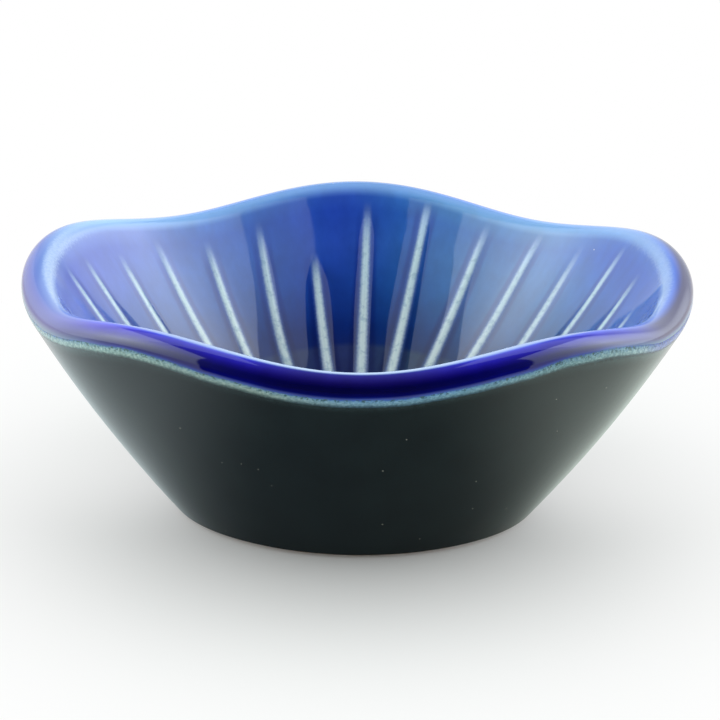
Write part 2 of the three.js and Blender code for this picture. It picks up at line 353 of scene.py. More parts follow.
def coat(name, nominal, material, closed_at_axis=False):
    """A coat of glaze as a closed body, with rows at nominal distances along the section."""
    distance, angle = glaze_grid(nominal)
    nominal = nominal[:, None] + 0 * angle
    rows, columns = distance.shape
    kept = sorted({0, rows - 1, *range(0, rows, UNDERSIDE_EVERY)})
    normals = skin_normal(distance, angle)
    points = np.concatenate([skin(distance, angle), skin(distance[kept], angle[kept], GLAZE)]).reshape(-1, 3)
    normals = np.concatenate([normals, -normals[kept]]).reshape(-1, 3)
    all_distance, all_angle, all_nominal = (
        np.concatenate([value, value[kept]]).ravel() for value in (distance, angle, nominal)
    )

    column = np.arange(columns)
    after = (column + 1) % columns

    def between_rows(above, below, flip):
        """A strip of quads from one row to another, or one for each pair of rows."""
        quads = np.stack([above + column, above + after, below + after, below + column], -1).reshape(-1, 4)
        return quads[:, ::-1] if flip else quads

    def cells(first, count, flip):
        starts = first + np.arange(count - 1)[:, None] * columns
        return between_rows(starts, starts + columns, flip)

    last_upper = (rows - 1) * columns
    lower_first = rows * columns
    last_lower = lower_first + (len(kept) - 1) * columns
    quads = [cells(0, rows, False), cells(lower_first, len(kept), True), between_rows(0, lower_first, True)]
    triangles = np.zeros((0, 3), int)
    if closed_at_axis:
        top_pole, bottom_pole = len(points), len(points) + 1
        points = np.concatenate([points, [[0, 0, FLOOR_HEIGHT], [0, 0, FLOOR_HEIGHT - GLAZE]]])
        normals = np.concatenate([normals, [[0, 0, 1], [0, 0, -1]]])
        all_distance = np.concatenate([all_distance, [path_end, path_end]])
        all_nominal = np.concatenate([all_nominal, [path_end, path_end]])
        all_angle = np.concatenate([all_angle, [0, 0]])
        top = np.stack([last_upper + column, last_upper + after, np.full(columns, top_pole)], -1)
        bottom = np.stack([last_lower + after, last_lower + column, np.full(columns, bottom_pole)], -1)
        triangles = np.concatenate([top, bottom])
    else:
        quads.append(between_rows(last_upper, last_lower, False))
    attributes = places(all_distance, all_angle, all_nominal)
    return mesh_object(name, points, np.concatenate(quads), triangles, normals, attributes, material)


def spans(*stretches):
    """Distances with given steps: (from, to, step) for each stretch, and the last end."""
    marks = [np.linspace(a, b, max(2, round((b - a) / step) + 1))[:-1] for a, b, step in stretches]
    return np.concatenate(marks + [[stretches[-1][1]]])


COLUMNS_PER_RIB = 18
COLUMN_GATHERING = 1.4


def columns_along_ribs(distance):
    """Angles of columns that run along the lines and gather at them, for rows at these distances."""
    share = np.arange(COLUMNS_PER_RIB) / COLUMNS_PER_RIB * 2
    lean = np.where(share <= 1, share**COLUMN_GATHERING / 2, 1 - (2 - share) ** COLUMN_GATHERING / 2)
    angles = []
    for number in range(RIBS):
        near, far = rib_angle(number, distance), rib_angle(number + 1, distance)
        angles.append(near[:, None] + (far - near)[:, None] * lean)
    return np.concatenate(angles, 1)


def glaze_grid(distances):
    """Grids of distance and angle. Rows near the pale band follow its wander."""
    angle = columns_along_ribs(distances)
    from_seam = np.minimum(np.abs(distances - seam_top), np.abs(distances - seam_foot))
    follow = 1 - smoothstep(from_seam, 0, SEAM_FOLLOWED)
    return distances[:, None] + follow[:, None] * wander(angle), angle


# Helpers for node trees. Values may be numbers, colours or sockets.


def empty_tree(owner):
    owner.use_nodes = True
    owner.node_tree.nodes.clear()
    return owner.node_tree


def node(tree, kind, inputs=None, **settings):
    """A new node. inputs are numbers, colours or sockets, by name or by place."""
    made = tree.nodes.new(kind)
    for key, value in settings.items():
        setattr(made, key, value)
    for key, value in (inputs or {}).items():
        if isinstance(value, bpy.types.NodeSocket):
            tree.links.new(value, made.inputs[key])
        else:
            made.inputs[key].default_value = value
    return made


def maths(tree, operation, *values, clamp=False):
    made = node(tree, "ShaderNodeMath", dict(enumerate(values)), operation=operation, use_clamp=clamp)
    return made.outputs[0]


def product(tree, first, *others):
    for value in others:
        first = maths(tree, "MULTIPLY", first, value)
    return first


def linear(tree, value, slope, level=1.0):
    """The value times a slope, plus a level."""
    return maths(tree, "MULTIPLY_ADD", value, slope, level)


def rest_of(tree, share):
    """What the share leaves of 1."""
    return maths(tree, "SUBTRACT", 1.0, share)


def vector_value(tree, operation, *vectors):
    """The number that a vector operation gives."""
    made = node(tree, "ShaderNodeVectorMath", dict(enumerate(vectors)), operation=operation)
    return made.outputs["Value"]


def axes(tree, vector):
    return node(tree, "ShaderNodeSeparateXYZ", {0: vector}).outputs


def attribute(tree, name, output="Fac"):
    return node(tree, "ShaderNodeAttribute", attribute_name=name).outputs[output]


def ramp(tree, value, stops):
    """Colour by value. stops are (value from 0 to 1, colour)."""
    made = node(tree, "ShaderNodeValToRGB", {"Fac": value})
    elements = made.color_ramp.elements
    while len(elements) > 1:
        elements.remove(elements[-1])
    for place, (at, colour) in enumerate(stops):
        element = elements[0] if place == 0 else elements.new(at)
        element.position = at
        element.color = (*colour, 1)
    return made.outputs["Color"]


def ramp_over(tree, value, low, high, stops):
    """Colour by value, with stops anywhere from low to high."""
    share = maths(tree, "DIVIDE", maths(tree, "SUBTRACT", value, low), high - low)
    return ramp(tree, share, [((at - low) / (high - low), colour) for at, colour in stops])


def rise_between(tree, value, low, high):
    """0 below low, 1 above high and smooth between them."""
    limits = {"Value": value, "From Min": low, "From Max": high}
    return node(tree, "ShaderNodeMapRange", limits, interpolation_type="SMOOTHSTEP").outputs["Result"]


def fall_between(tree, value, low, high):
    return rest_of(tree, rise_between(tree, value, low, high))


def band_between(tree, value, rise, fall):
    """1 between two smooth borders and 0 outside them."""
    return product(tree, rise_between(tree, value, *rise), fall_between(tree, value, *fall))


def mix(tree, share, first, second, blend="MIX"):
    made = node(tree, "ShaderNodeMix", data_type="RGBA", blend_type=blend)
    sockets = {s.identifier: s for s in made.inputs}
    wanted = {"Factor_Float": share, "A_Color": first, "B_Color": second}
    for key, value in wanted.items():
        if isinstance(value, bpy.types.NodeSocket):
            tree.links.new(value, sockets[key])
        elif key == "Factor_Float":
            sockets[key].default_value = value
        else:
            sockets[key].default_value = (*value, 1)
    return next(s for s in made.outputs if s.identifier == "Result_Color")


def times(tree, first, second):
    """One colour multiplied by another."""
    return mix(tree, 1.0, first, second, "MULTIPLY")


def noise(tree, vector, scale, detail=3.0, roughness=0.55):
    inputs = {"Vector": vector, "Scale": scale, "Detail": detail, "Roughness": roughness}
    return node(tree, "ShaderNodeTexNoise", inputs).outputs["Fac"]


def roughened(tree, value, grain, amount):
    """The value, strayed up and down by a noise."""
    return maths(tree, "MULTIPLY_ADD", maths(tree, "SUBTRACT", grain, 0.5), amount, value)


def specks(tree, where, scale, rarity, size):
    """1 in small round specks, in the cells whose own random number is above rarity."""
    cells = node(tree, "ShaderNodeTexVoronoi", {"Vector": where, "Scale": scale, "Randomness": 1.0}).outputs
    drawn = node(tree, "ShaderNodeSeparateColor", {0: cells["Color"]}).outputs[0]
    chosen = maths(tree, "GREATER_THAN", drawn, rarity)
    return product(tree, chosen, maths(tree, "LESS_THAN", cells["Distance"], size))


def millimetres(tree):
    """The place on the object, in millimetres."""
    where = node(tree, "ShaderNodeTexCoord").outputs["Object"]
    return node(tree, "ShaderNodeVectorMath", {0: where, "Scale": 1 / MM}, operation="SCALE").outputs[0]


def surface(tree, colour, roughness, ior, height=None, depth=0.0):
    """The material's shader. height is a noise that stands depth millimetres high."""
    inputs = {"Base Color": colour, "Roughness": roughness, "IOR": ior}
    if height is not None:
        inputs["Normal"] = node(tree, "ShaderNodeBump", {"Height": height, "Distance": depth * MM}).outputs[0]
    shader = node(tree, "ShaderNodeBsdfPrincipled", inputs)
    node(tree, "ShaderNodeOutputMaterial", {"Surface": shader.outputs[0]})


# The inner glaze's colour, by millimetres past the lip's crest: its own cobalt, with painted light in it. The
# near-black band on the lip's outer face and the darkening low on the wall are painted shade and painted
# reflection of the dark front, and the greyer step from 31 mm on is a painted reflection of the front lip.
GLAZE_FROM, GLAZE_TO = -5.0, 56.0
GLAZE_SHADE_AND_REFLECTION_COLOURS = [
    (-4.85, (0.020, 0.060, 0.280)),
    (-4.65, (0.006, 0.022, 0.190)),
    (-4.4, (0.001, 0.002, 0.085)),
    (-3.8, (0.001, 0.001, 0.036)),
    (-3.2, (0.0003, 0.0003, 0.034)),
    (-2.5, (0.004, 0.002, 0.085)),
    (-1.8, (0.012, 0.009, 0.155)),
    (-1.0, (0.026, 0.023, 0.240)),
    (-0.4, (0.034, 0.070, 0.420)),
    (0.8, (0.060, 0.160, 0.560)),
    (2.0, (0.050, 0.140, 0.520)),
    (3.4, (0.021, 0.068, 0.410)),
    (6.0, (0.014, 0.052, 0.385)),
    (12.0, (0.017, 0.060, 0.385)),
    (19.0, (0.008, 0.044, 0.300)),
    (27.0, (0.001, 0.017, 0.160)),
    (30.2, (0.002, 0.014, 0.130)),
    (31.2, (0.018, 0.030, 0.125)),
    (44.0, (0.014, 0.020, 0.100)),
]
# The same on the lip at the sides, where it is thinner and paler with a painted reflection of the side lights
SIDE_GLAZE_AND_REFLECTION_COLOURS = [
    (-4.85, (0.190, 0.300, 0.380)),
    (-4.1, (0.150, 0.180, 0.340)),
    (-3.5, (0.080, 0.072, 0.280)),
    (-2.0, (0.105, 0.115, 0.410)),
    (-1.3, (0.110, 0.135, 0.490)),
    (-0.6, (0.105, 0.185, 0.600)),
    (0.8, (0.180, 0.320, 0.740)),
    (3.0, (0.140, 0.240, 0.620)),
]
# What its blue is multiplied by on the lip, by the cosine of twice the angle, and the most that this may be
LIP_BLUE = [(-1.0, 1.0), (-0.93, 1.15), (-0.78, 2.0), (0.2, 2.4)]
LIP_BLUE_MOST = 4.0
# How light it is at least, and what streaks and clouds add to that
LEAST_LEVEL = 0.55
STREAKS_ADD = 0.5
CLOUDS_ADD = 0.4
# How much each stretch of the inner glaze adds to red, green and blue, as a share of each
WALL_TEAL = (0.5, 1.0, 0.08)
WALL_TEAL_RIGHT = 1.85  # times as strong on the right as on the left
# At the far left, red and a little blue are added as a painted reflection of the left softbox
WALL_FAR_LEFT_REFLECTION = (1.5, 0.0, 0.15)
WALL_FAR_RIGHT = (-0.55, -0.42, 0.0)
WALL_LEFT = (0.0, 0.0, 0.09)
# The grey on the right lip is a painted reflection
RIGHT_LIP_REFLECTION = (0.085, 0.078, 0.140)
RIGHT_LIP_SHARE = 0.9
PALE_SHOULDER_AND_HIGHLIGHT = (0.50, 0.68, 0.92)
PALE_RIM = (0.36, 0.66, 1.0)
SLIP_TOP = (0.42, 0.62, 0.82)
SLIP_MIDDLE = (0.54, 0.74, 0.76)
SLIP_FOOT = (0.66, 0.82, 0.78)
SLIP_BEADS = (0.26, 0.44, 0.52)
SLIP_EDGE = (0.10, 0.20, 0.48)
POOLED = (0.35, 0.30, 0.62)
COBALT_SPECKS = (0.60, 0.70, 0.80)
COBALT_SPECKS_SHARE = 0.7
# Where each of these begins and ends. PAST is in millimetres past the lip's crest, ALONG in millimetres to
# the right of the bowl's middle. ASIDE goes by the cosine of twice the angle, 1 at the left and right, REAR
# by the sine of the angle, 1 at the back, and NEAR by how near a line's middle a point is.
LIP_PAST = (-4.8, -3.4), (-1.5, 1.5)
WALL_PAST = (0.5, 4.0)
FAR_LEFT_ALONG = (-46.0, -28.0)
LEFT_ALONG = (-24.0, 0.0)
RIGHT_ALONG = (-6.0, 20.0)
FAR_RIGHT_ALONG = (31.0, 45.0)
CHANGE_ALONG = (0.0, 20.0)  # from how the lip looks at the left to how it looks at the right
SIDE_ASIDE = (-0.25, 0.8)
SIDE_PAST = (1.0, 7.0)
SIDE_SHIFT = 3.0  # the right side ends sooner by this
RIGHT_LIP_ALONG = (38.0, 48.0)
RIGHT_LIP_REAR = (0.40, 0.66)
RIGHT_LIP_PAST = (-4.6, -3.8), (-1.2, 0.5)
POOLED_NEAR = (0.0, 0.35)
POOLED_SHARE = 0.55
NEAR_STRAYS = 0.12  # how far a noise moves the borders of the slip
SLIP_EDGE_NEAR = (0.44, 0.80)
SLIP_EDGE_SHARE = 0.6
SLIP_NEAR = (0.60, 0.92)
SLIP_SHARE = 0.9
SLIP_MIDDLE_PAST = (4.0, 14.0)
SLIP_FOOT_PAST = (14.0, 30.0)
SLIP_BEADS_SHOW = (0.50, 0.68)  # of a noise
SLIP_BEADS_SHARE = 0.5
# The lip's pale shoulder: a thin line along the near side, which is a painted highlight, speckled and broad
# at the sides, where thin glaze carries a painted highlight too, faint at the back
FRONT_REAR = (-0.22, -0.02)
BACK_REAR = (0.10, 0.60)
THIN_PAST = (-0.85, -0.2), (0.9, 1.7)
THIN_SHIFT = 2.2  # how much further in it runs at the sides
THIN_ASIDE = (-0.6, 0.9)
THIN_SHARE, THIN_ADDS_ASIDE = 0.35, 0.5
BROAD_PAST = (-0.3, 1.5), (2.2, 5.2)
BROAD_ASIDE = (0.0, 0.9)
BROAD_STRAYS = 0.9
BROAD_SHOWS = (0.25, 1.25)
BROAD_SHARE, BROAD_ADDS_RIGHT = 0.8, -0.4
RIM_PAST = (-1.2, 0.3), (1.0, 3.7)
RIM_SHARE, RIM_ADDS_ASIDE = 0.70, 0.28
RIM_ALONG = (30.0, 42.0)
RIM_ADDS_RIGHT = -0.42


def coated_colour(tree, where, past, aside, rear):
    """The glaze's colour before the lines and the pale shoulder: deep on the wall and paler on the lip, with
    painted shade and painted reflections in it.
    """
    along = axes(tree, where)[0]
    streaks = noise(tree, attribute(tree, "flow", "Vector"), scale=0.35, detail=4.0)
    cloud = noise(tree, where, scale=0.09, detail=2.0)
    level = linear(tree, cloud, CLOUDS_ADD, linear(tree, streaks, STREAKS_ADD, LEAST_LEVEL))

    # Bluer round the lip towards the sides, and greener on the wall at left and right, with a painted
    # reflection at the far left
    on_lip = band_between(tree, past, *LIP_PAST)
    turned = ramp_over(tree, aside, -1, 1, [(at, (value / LIP_BLUE_MOST,) * 3) for at, value in LIP_BLUE])
    lip_blue = linear(tree, linear(tree, turned, LIP_BLUE_MOST, -1.0), on_lip)
    on_wall = rise_between(tree, past, *WALL_PAST)
    left = fall_between(tree, along, *LEFT_ALONG)
    right = rise_between(tree, along, *RIGHT_ALONG)
    stretches = [
        (WALL_TEAL, product(tree, on_wall, linear(tree, right, WALL_TEAL_RIGHT, left))),
        # painted reflection of the left softbox
        (WALL_FAR_LEFT_REFLECTION, fall_between(tree, along, *FAR_LEFT_ALONG)),
        (WALL_FAR_RIGHT, product(tree, on_wall, rise_between(tree, along, *FAR_RIGHT_ALONG))),
        (WALL_LEFT, product(tree, left, on_wall)),
    ]
    channels = []
    for channel in range(3):
        factors = [linear(tree, share, adds[channel]) for adds, share in stretches if adds[channel]]
        channels.append(product(tree, level, *factors))
    channels[2] = product(tree, channels[2], lip_blue)
    tint = node(tree, "ShaderNodeCombineColor", dict(enumerate(channels))).outputs[0]
    # The ramp holds painted shade and painted reflections on the lip's outer face and low on the wall
    colour = times(tree, ramp_over(tree, past, GLAZE_FROM, GLAZE_TO, GLAZE_SHADE_AND_REFLECTION_COLOURS), tint)

    # Paler on the lip at the sides: thinner glaze, with a painted reflection of the side lights
    shifted = linear(tree, rise_between(tree, along, *CHANGE_ALONG), SIDE_SHIFT, past)
    at_side = product(tree, rise_between(tree, aside, *SIDE_ASIDE), fall_between(tree, shifted, *SIDE_PAST))
    colour = mix(tree, at_side, colour, ramp_over(tree, past, GLAZE_FROM, GLAZE_TO, SIDE_GLAZE_AND_REFLECTION_COLOURS))
    # A painted reflection: grey on the lip at the right
    at_right = product(
        tree,
        rise_between(tree, along, *RIGHT_LIP_ALONG),
        fall_between(tree, maths(tree, "ABSOLUTE", rear), *RIGHT_LIP_REAR),
        band_between(tree, past, *RIGHT_LIP_PAST),
        RIGHT_LIP_SHARE,
    )
    return mix(tree, at_right, colour, RIGHT_LIP_REFLECTION)


def with_lines(tree, colour, where, past, fine):
    """The colour with the pale lines over it, and darker close beside them."""
    near = attribute(tree, "near_line")
    line_pale = attribute(tree, "line_pale")
    pooled = product(tree, rise_between(tree, near, *POOLED_NEAR), POOLED_SHARE, line_pale)
    colour = mix(tree, pooled, colour, times(tree, colour, POOLED))

    grain = roughened(tree, near, fine, NEAR_STRAYS)
    edge = product(tree, rise_between(tree, grain, *SLIP_EDGE_NEAR), line_pale)
    core = product(tree, rise_between(tree, grain, *SLIP_NEAR), line_pale)
    slip = mix(tree, rise_between(tree, past, *SLIP_MIDDLE_PAST), SLIP_TOP, SLIP_MIDDLE)
    slip = mix(tree, rise_between(tree, past, *SLIP_FOOT_PAST), slip, SLIP_FOOT)
    beads = rise_between(tree, noise(tree, where, scale=0.85, detail=2.0, roughness=0.6), *SLIP_BEADS_SHOW)
    slip = mix(tree, product(tree, beads, SLIP_BEADS_SHARE), slip, SLIP_BEADS)
    colour = mix(tree, product(tree, edge, SLIP_EDGE_SHARE), colour, SLIP_EDGE)
    return mix(tree, maths(tree, "MULTIPLY", core, SLIP_SHARE, clamp=True), colour, slip)


def with_pale_lip(tree, colour, where, past, aside, rear, fine):
    """The colour with the lip's pale shoulder over it: thin glaze, with painted highlights along the near
    edge and at the sides.
    """
    along = axes(tree, where)[0]
    behind = rise_between(tree, rear, *BACK_REAR)
    # The speckled band at the sides is thin glaze with a painted highlight
    broad = band_between(tree, past, *BROAD_PAST)
    speckled = product(
        tree,
        rise_between(tree, roughened(tree, broad, fine, BROAD_STRAYS), *BROAD_SHOWS),
        rest_of(tree, behind),
        rise_between(tree, aside, *BROAD_ASIDE),
        linear(tree, rise_between(tree, along, *CHANGE_ALONG), BROAD_ADDS_RIGHT, BROAD_SHARE),
    )
    # The thin line along the near edge is a painted highlight
    shifted = linear(tree, rise_between(tree, aside, *THIN_ASIDE), -THIN_SHIFT, past)
    line = product(
        tree,
        band_between(tree, shifted, *THIN_PAST),
        fall_between(tree, rear, *FRONT_REAR),
        linear(tree, maths(tree, "ABSOLUTE", aside), THIN_ADDS_ASIDE, THIN_SHARE),
    )
    rim = product(
        tree,
        band_between(tree, past, *RIM_PAST),
        behind,
        linear(tree, aside, RIM_ADDS_ASIDE, RIM_SHARE),
        linear(tree, rise_between(tree, along, *RIM_ALONG), RIM_ADDS_RIGHT),
    )
    colour = mix(tree, rim, colour, PALE_RIM)
    return mix(tree, maths(tree, "MAXIMUM", line, speckled), colour, PALE_SHOULDER_AND_HIGHLIGHT)


def glaze_colour(tree):
    """The cobalt glaze: deep where thick, pale over the lines' crests and the lip's inner shoulder, with
    painted shade, painted reflections and a painted highlight on the lip and the wall.
    """
    past, aside, rear = (attribute(tree, name) for name in ("past_crest", "aside", "rear"))
    where = millimetres(tree)
    fine = noise(tree, where, scale=2.2, detail=3.0, roughness=0.6)
    colour = coated_colour(tree, where, past, aside, rear)
    colour = with_lines(tree, colour, where, past, fine)
    colour = with_pale_lip(tree, colour, where, past, aside, rear, fine)
    speck = specks(tree, where, scale=0.22, rarity=0.80, size=0.030)
    return mix(tree, product(tree, speck, COBALT_SPECKS_SHARE), colour, COBALT_SPECKS)


cobalt = bpy.data.materials.new("cobalt_glaze")
tree = empty_tree(cobalt)
surface(tree, glaze_colour(tree), roughness=0.045, ior=1.5)

slip_glaze = bpy.data.materials.new("glazed_slip")
tree = empty_tree(slip_glaze)
grains = noise(tree, millimetres(tree), scale=3.0, detail=2.0)
surface(tree, glaze_colour(tree), roughness=0.09, ior=1.5, height=grains, depth=0.03)

# The pale band's colour, by share of its width from its lower border
BAND_COLOURS = [
    (0.0, (0.010, 0.016, 0.016)),
    (0.14, (0.035, 0.058, 0.054)),
    (0.36, (0.125, 0.195, 0.180)),
    (0.62, (0.160, 0.265, 0.265)),
    (0.84, (0.130, 0.240, 0.300)),
    (0.94, (0.040, 0.110, 0.220)),
    (1.0, (0.020, 0.070, 0.250)),
]
BAND_STRAYS = 0.5
# Over it, pale grains in its middle, more at the left and right, then dark flecks, mostly above, then clouds
BAND_GRAINS = (0.40, 0.52, 0.46)
GRAINS_SHOW = (0.47, 0.58)  # of a noise
GRAINS_WITHIN = (0.20, 0.45), (0.62, 0.90)
GRAINS_SHARE, GRAINS_ADD_ASIDE = 0.60, 0.25
BAND_FLECKS = (0.014, 0.050, 0.035)
FLECKS_SHOW = (0.50, 0.60)  # of a noise
FLECKS_ABOVE = (0.50, 0.85)
FLECKS_SHARE, FLECKS_ADD_ABOVE = 0.15, 0.75
BAND_CLOUDS = (0.08, 0.15, 0.18)
BAND_CLOUDS_SHARE = 0.3
# What it is multiplied by, by millimetres to the right of the middle, the reach of this and the most it may
# be. The band is warmer and paler to the left of the front, bluer to its right and violet at the far right.
BAND_TINTS = [
    (-48, (1.30, 1.42, 1.50)),
    (-36, (1.22, 1.30, 1.25)),
    (-27, (1.0, 1.05, 1.05)),
    (-14, (1.2, 1.15, 1.1)),
    (0, (0.82, 1.05, 1.45)),
    (16, (0.72, 1.0, 1.35)),
    (32, (0.66, 0.86, 0.95)),
    (43, (1.15, 1.25, 1.35)),
    (45, (1.12, 1.15, 1.40)),
    (47.5, (0.78, 0.74, 1.60)),
]
BAND_TINT_REACH = 50
BAND_TINT_MOST = 1.6

seam_glaze = bpy.data.materials.new("seam_glaze")
tree = empty_tree(seam_glaze)
where = millimetres(tree)
past = attribute(tree, "past_crest")
fine = noise(tree, where, scale=1.9, detail=4.0, roughness=0.65)
seam_share = maths(tree, "DIVIDE", maths(tree, "SUBTRACT", past, seam_foot - crest), SEAM_WIDTH)
stray = roughened(tree, seam_share, fine, BAND_STRAYS)
colour = ramp(tree, stray, BAND_COLOURS)
grains = rise_between(tree, noise(tree, where, scale=2.2, detail=3.0, roughness=0.75), *GRAINS_SHOW)
grain_share = linear(tree, attribute(tree, "aside"), GRAINS_ADD_ASIDE, GRAINS_SHARE)
grain_share = product(tree, grain_share, grains, band_between(tree, stray, *GRAINS_WITHIN))
colour = mix(tree, grain_share, colour, BAND_GRAINS)
flecks = rise_between(tree, noise(tree, where, scale=1.7, detail=2.0, roughness=0.8), *FLECKS_SHOW)
fleck_share = linear(tree, rise_between(tree, seam_share, *FLECKS_ABOVE), FLECKS_ADD_ABOVE, FLECKS_SHARE)
colour = mix(tree, product(tree, flecks, fleck_share), colour, BAND_FLECKS)
cloud = noise(tree, where, scale=0.35, detail=2.0)
colour = mix(tree, product(tree, cloud, BAND_CLOUDS_SHARE), colour, BAND_CLOUDS)
tints = [(x, tuple(part / BAND_TINT_MOST for part in tint)) for x, tint in BAND_TINTS]
colour = times(tree, colour, ramp_over(tree, axes(tree, where)[0], -BAND_TINT_REACH, BAND_TINT_REACH, tints))
colour = times(tree, colour, (BAND_TINT_MOST,) * 3)
surface(tree, colour, roughness=0.22, ior=1.5, height=fine, depth=0.06)

DARK_COLOURS = [(0.3, (0.0020, 0.0060, 0.0080)), (0.7, (0.0040, 0.0098, 0.0115))]
DARK_HAZE = (0.110, 0.200, 0.205)  # just below the pale band, strongest at the sides
HAZE_FROM_BAND = (-1.6, 0.3)
HAZE_PATCHES = (1.2, -0.15)  # slope and level, over a noise
HAZE_ASIDE = (-0.4, 0.6)
HAZE_SHARE, HAZE_ADDS_ASIDE = 0.2, 0.8
DARK_SPECKS = (0.35, 0.36, 0.30)
DARK_SPECKS_SHARE = 0.6
SATIN_ROUGHNESS = (0.08, 0.10)  # slope and level, over a noise

dark = bpy.data.materials.new("dark_glaze")
tree = empty_tree(dark)
where = millimetres(tree)
colour = ramp(tree, noise(tree, where, scale=0.12, detail=4.0), DARK_COLOURS)
from_band = maths(tree, "SUBTRACT", attribute(tree, "past_crest"), seam_foot - crest)
patchy = linear(tree, noise(tree, where, scale=1.2, detail=3.0, roughness=0.7), *HAZE_PATCHES)
haze = maths(tree, "MULTIPLY", rise_between(tree, from_band, *HAZE_FROM_BAND), patchy, clamp=True)
at_side = rise_between(tree, attribute(tree, "aside"), *HAZE_ASIDE)
haze = product(tree, haze, linear(tree, at_side, HAZE_ADDS_ASIDE, HAZE_SHARE))
colour = mix(tree, haze, colour, DARK_HAZE)
speck = specks(tree, where, scale=0.35, rarity=0.45, size=0.042)
colour = mix(tree, product(tree, speck, DARK_SPECKS_SHARE), colour, DARK_SPECKS)
satin = linear(tree, noise(tree, where, scale=0.5, detail=3.0), *SATIN_ROUGHNESS)
dents = noise(tree, where, scale=1.6, detail=3.0)
surface(tree, colour, roughness=satin, ior=1.42, height=dents, depth=0.010)

CLAY_COLOURS = [(0.3, (0.15, 0.075, 0.035)), (0.5, (0.23, 0.13, 0.065)), (0.72, (0.34, 0.22, 0.13))]

clay = bpy.data.materials.new("bare_clay")
tree = empty_tree(clay)
sand = noise(tree, millimetres(tree), scale=2.6, detail=4.0, roughness=0.7)
surface(tree, ramp(tree, sand, CLAY_COLOURS), roughness=0.85, ior=1.45, height=sand, depth=0.12)

# The object

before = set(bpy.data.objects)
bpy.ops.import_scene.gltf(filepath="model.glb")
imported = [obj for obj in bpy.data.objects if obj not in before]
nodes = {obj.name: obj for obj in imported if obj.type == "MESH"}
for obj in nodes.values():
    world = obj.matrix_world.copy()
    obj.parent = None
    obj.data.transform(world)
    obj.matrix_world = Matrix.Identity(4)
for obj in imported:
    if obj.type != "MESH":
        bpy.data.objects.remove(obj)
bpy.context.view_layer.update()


def dress(made, slot, *replaced):
    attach(made, "root")
    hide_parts(*replaced)


# Rows are (from, to, step) along the section
inner_rows = spans(
    (seam_top, crest - 2.5, 0.22),
    (crest - 2.5, inner_start + 1, 0.2),
    (inner_start + 1, floor_start - 4, 0.42),
    (floor_start - 4, floor_start + 3, 0.8),
    (floor_start + 3, path_end - 0.8, 2.5),
)
dress(coat("cobalt_coat", inner_rows, cobalt, closed_at_axis=True), "cobalt_glaze", "inner_glaze")

seam_rows = spans((seam_foot, seam_top, 0.2))
dress(coat("pale_band", seam_rows, seam_glaze), "seam_glaze", "glaze_seam")

outer_rows = spans((GLAZE_LINE, seam_foot - 4, 1.2), (seam_foot - 4, seam_foot, 0.4))
dress(coat("dark_coat", outer_rows, dark), "dark_glaze", "outer_glaze")

SLIP_COLUMNS = 8
SLIP_ROW = 0.6
SLIP_ENDS = 0.4  # how far its ends keep from the line's own
SLIP_REACH = 0.8  # share of the crest's half width that the line's own body shows
SLIP_LEAST = 0.05  # share of this that is left at its faded ends
SLIP_LIFT = 0.014
SLIP_SINK = 0.006
SLIP_DEPTH = 0.3


def slip_line(number):
    """The slip that shows through on a crest: a slim body in the glaze, a hair above it."""
    top, foot = rib_ends(number)
    distances = spans((top + SLIP_ENDS, foot - SLIP_ENDS, SLIP_ROW))
    share = np.linspace(-1, 1, SLIP_COLUMNS + 1)
    taper = np.clip(rib_fade(number, distances), SLIP_LEAST, 1) * SLIP_REACH
    taper = taper * rib_half_width(number, distances)
    radius = under_skin(distances, 0)[0]
    angle = rib_angle(number, distances)[:, None] + (taper / radius)[:, None] * share
    distance = distances[:, None] + 0 * angle
    lift = -SLIP_SINK + SLIP_LIFT * (1 - share**2)
    rise = relief(distance, angle)[0] + wobble(distance, angle)
    upper = lobed(*under_skin(distance, -rise - lift), angle)
    edges = distance[:, [0, -1]]
    edge_angles = angle[:, [-1, 0]]
    lower = lobed(*under_skin(edges, SLIP_DEPTH), edge_angles)
    grid = np.concatenate([upper, lower], 1)
    rows, ring = grid.shape[:2]
    normals = np.concatenate([skin_normal(distance, angle), -skin_normal(edges, edge_angles)], 1)
    start = np.arange(rows - 1)[:, None] * ring
    side = np.arange(ring)
    after = (side + 1) % ring
    quads = np.stack([start + side, start + after, start + ring + after, start + ring + side], -1)
    last = (rows - 1) * ring
    inner = np.arange(1, ring - 1)
    first_cap = np.stack([0 * inner, inner + 1, inner], -1)
    last_cap = np.stack([last + 0 * inner, last + inner, last + inner + 1], -1)
    all_distance = np.concatenate([distance, edges], 1).ravel()
    all_angle = np.concatenate([angle, edge_angles], 1).ravel()
    return mesh_object(
        f"slip_line_{number + 1:02d}",
        grid.reshape(-1, 3),
        quads.reshape(-1, 4),
        np.concatenate([first_cap, last_cap]),
        normals.reshape(-1, 3),
        places(all_distance, all_angle, all_distance),
        slip_glaze,
    )


for number in range(RIBS):
    dress(slip_line(number), "rib_slip", f"rib_{number + 1:02d}")

for name, material in (("clay_body", clay), ("foot_glaze", dark)):
    nodes[name].data.materials.clear()
    nodes[name].data.materials.append(material)

# The camera, at the photograph's place
CAMERA_TARGET = (0.58, 0, 23.8129)
CAMERA_DISTANCE = 576.14
CAMERA_ELEVATION = math.radians(16.93)
CAMERA_ROLL = math.radians(0.855)
LENS, SENSOR = 175, 36

